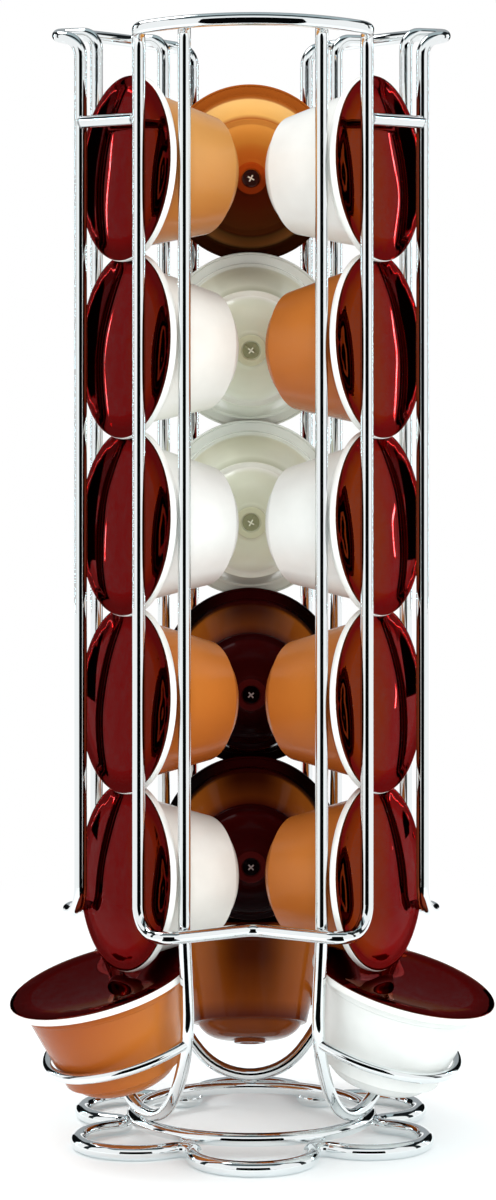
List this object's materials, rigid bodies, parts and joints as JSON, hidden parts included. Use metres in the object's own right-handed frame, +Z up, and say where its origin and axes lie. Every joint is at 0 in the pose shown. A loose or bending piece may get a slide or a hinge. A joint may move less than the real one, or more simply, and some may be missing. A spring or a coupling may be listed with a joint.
{
  "type": "coffee capsule dispenser",
  "caption": "Free-standing chromed wire tower with three open-topped columns that hold and feed coffee capsules down to tilted catch hoops at the base.",
  "frame": {"origin": "on the tower's axis, at the height of the surface it stands on", "axes": "+Z up along the tower's axis; the front panel, the one seen square on, faces -Y; +X to the right"},
  "size_m": [0.1394, 0.1344, 0.3246],
  "materials": {
    "chrome_wire": "polished",
    "cup_white": "gloss",
    "cup_cream": "gloss",
    "cup_tan": "gloss",
    "cup_brown": "gloss",
    "lid_foil": "gloss lacquered"
  },
  "bodies": {
    "frame": {"petal_foot": "chrome_wire", "base_ring": "chrome_wire", "front_panel_loop": "chrome_wire", "right_panel_loop": "chrome_wire", "left_panel_loop": "chrome_wire", "left_cradle_wire": "chrome_wire", "left_top_link": "chrome_wire", "left_catch_hoop": "chrome_wire", "right_cradle_wire": "chrome_wire", "right_top_link": "chrome_wire", "right_catch_hoop": "chrome_wire", "back_cradle_wire": "chrome_wire", "back_top_link": "chrome_wire", "back_catch_hoop": "chrome_wire"},
    "left_capsule_1": {"left_capsule_1_cup": "cup_tan", "left_capsule_1_lid": "lid_foil"},
    "left_capsule_2": {"left_capsule_2_cup": "cup_cream", "left_capsule_2_lid": "lid_foil"},
    "left_capsule_3": {"left_capsule_3_cup": "cup_white", "left_capsule_3_lid": "lid_foil"},
    "left_capsule_4": {"left_capsule_4_cup": "cup_tan", "left_capsule_4_lid": "lid_foil"},
    "left_capsule_5": {"left_capsule_5_cup": "cup_cream", "left_capsule_5_lid": "lid_foil"},
    "left_capsule_6": {"left_capsule_6_cup": "cup_tan", "left_capsule_6_lid": "lid_foil"},
    "right_capsule_1": {"right_capsule_1_cup": "cup_white", "right_capsule_1_lid": "lid_foil"},
    "right_capsule_2": {"right_capsule_2_cup": "cup_tan", "right_capsule_2_lid": "lid_foil"},
    "right_capsule_3": {"right_capsule_3_cup": "cup_white", "right_capsule_3_lid": "lid_foil"},
    "right_capsule_4": {"right_capsule_4_cup": "cup_tan", "right_capsule_4_lid": "lid_foil"},
    "right_capsule_5": {"right_capsule_5_cup": "cup_tan", "right_capsule_5_lid": "lid_foil"},
    "right_capsule_6": {"right_capsule_6_cup": "cup_white", "right_capsule_6_lid": "lid_foil"},
    "back_capsule_1": {"back_capsule_1_cup": "cup_brown", "back_capsule_1_lid": "lid_foil"},
    "back_capsule_2": {"back_capsule_2_cup": "cup_cream", "back_capsule_2_lid": "lid_foil"},
    "back_capsule_3": {"back_capsule_3_cup": "cup_cream", "back_capsule_3_lid": "lid_foil"},
    "back_capsule_4": {"back_capsule_4_cup": "cup_brown", "back_capsule_4_lid": "lid_foil"},
    "back_capsule_5": {"back_capsule_5_cup": "cup_brown", "back_capsule_5_lid": "lid_foil"},
    "back_capsule_6": {"back_capsule_6_cup": "cup_brown", "back_capsule_6_lid": "lid_foil"}
  },
  "joints": [
    {"name": "left_capsule_5_lift", "type": "slide", "parent": "frame", "child": "left_capsule_5", "axis": [0, 0, 1], "range_m": [0, 0.016]},
    {"name": "left_capsule_4_lift", "type": "slide", "parent": "left_capsule_5", "child": "left_capsule_4", "axis": [0, 0, 1], "range_m": [0, 0.228]},
    {"name": "left_capsule_3_lift", "type": "slide", "parent": "left_capsule_4", "child": "left_capsule_3", "axis": [0, 0, 1], "range_m": [0, 0.177]},
    {"name": "left_capsule_2_lift", "type": "slide", "parent": "left_capsule_3", "child": "left_capsule_2", "axis": [0, 0, 1], "range_m": [0, 0.126]},
    {"name": "left_capsule_1_lift", "type": "slide", "parent": "left_capsule_2", "child": "left_capsule_1", "axis": [0, 0, 1], "range_m": [0, 0.075]},
    {"name": "left_capsule_6_tip", "type": "hinge", "parent": "frame", "child": "left_capsule_6", "pos_m": [-0.05543, -0.032, 0.0233], "axis": [0.5, -0.866, 0], "range_deg": [0, 18.5]},
    {"name": "right_capsule_5_lift", "type": "slide", "parent": "frame", "child": "right_capsule_5", "axis": [0, 0, 1], "range_m": [0, 0.016]},
    {"name": "right_capsule_4_lift", "type": "slide", "parent": "right_capsule_5", "child": "right_capsule_4", "axis": [0, 0, 1], "range_m": [0, 0.228]},
    {"name": "right_capsule_3_lift", "type": "slide", "parent": "right_capsule_4", "child": "right_capsule_3", "axis": [0, 0, 1], "range_m": [0, 0.177]},
    {"name": "right_capsule_2_lift", "type": "slide", "parent": "right_capsule_3", "child": "right_capsule_2", "axis": [0, 0, 1], "range_m": [0, 0.126]},
    {"name": "right_capsule_1_lift", "type": "slide", "parent": "right_capsule_2", "child": "right_capsule_1", "axis": [0, 0, 1], "range_m": [0, 0.075]},
    {"name": "right_capsule_6_tip", "type": "hinge", "parent": "frame", "child": "right_capsule_6", "pos_m": [0.05543, -0.032, 0.0233], "axis": [0.5, 0.866, 0], "range_deg": [0, 18.5]},
    {"name": "back_capsule_5_lift", "type": "slide", "parent": "frame", "child": "back_capsule_5", "axis": [0, 0, 1], "range_m": [0, 0.016]},
    {"name": "back_capsule_4_lift", "type": "slide", "parent": "back_capsule_5", "child": "back_capsule_4", "axis": [0, 0, 1], "range_m": [0, 0.228]},
    {"name": "back_capsule_3_lift", "type": "slide", "parent": "back_capsule_4", "child": "back_capsule_3", "axis": [0, 0, 1], "range_m": [0, 0.177]},
    {"name": "back_capsule_2_lift", "type": "slide", "parent": "back_capsule_3", "child": "back_capsule_2", "axis": [0, 0, 1], "range_m": [0, 0.126]},
    {"name": "back_capsule_1_lift", "type": "slide", "parent": "back_capsule_2", "child": "back_capsule_1", "axis": [0, 0, 1], "range_m": [0, 0.075]},
    {"name": "back_capsule_6_tip", "type": "hinge", "parent": "frame", "child": "back_capsule_6", "pos_m": [0, 0.064, 0.0233], "axis": [-1, 0, 0], "range_deg": [0, 18.5]}
  ],
  "couplings": [
    {"joint": "left_capsule_5_lift", "follows": "left_capsule_6_tip", "m_per_rad": 0.045},
    {"joint": "right_capsule_5_lift", "follows": "right_capsule_6_tip", "m_per_rad": 0.045},
    {"joint": "back_capsule_5_lift", "follows": "back_capsule_6_tip", "m_per_rad": 0.045}
  ]
}
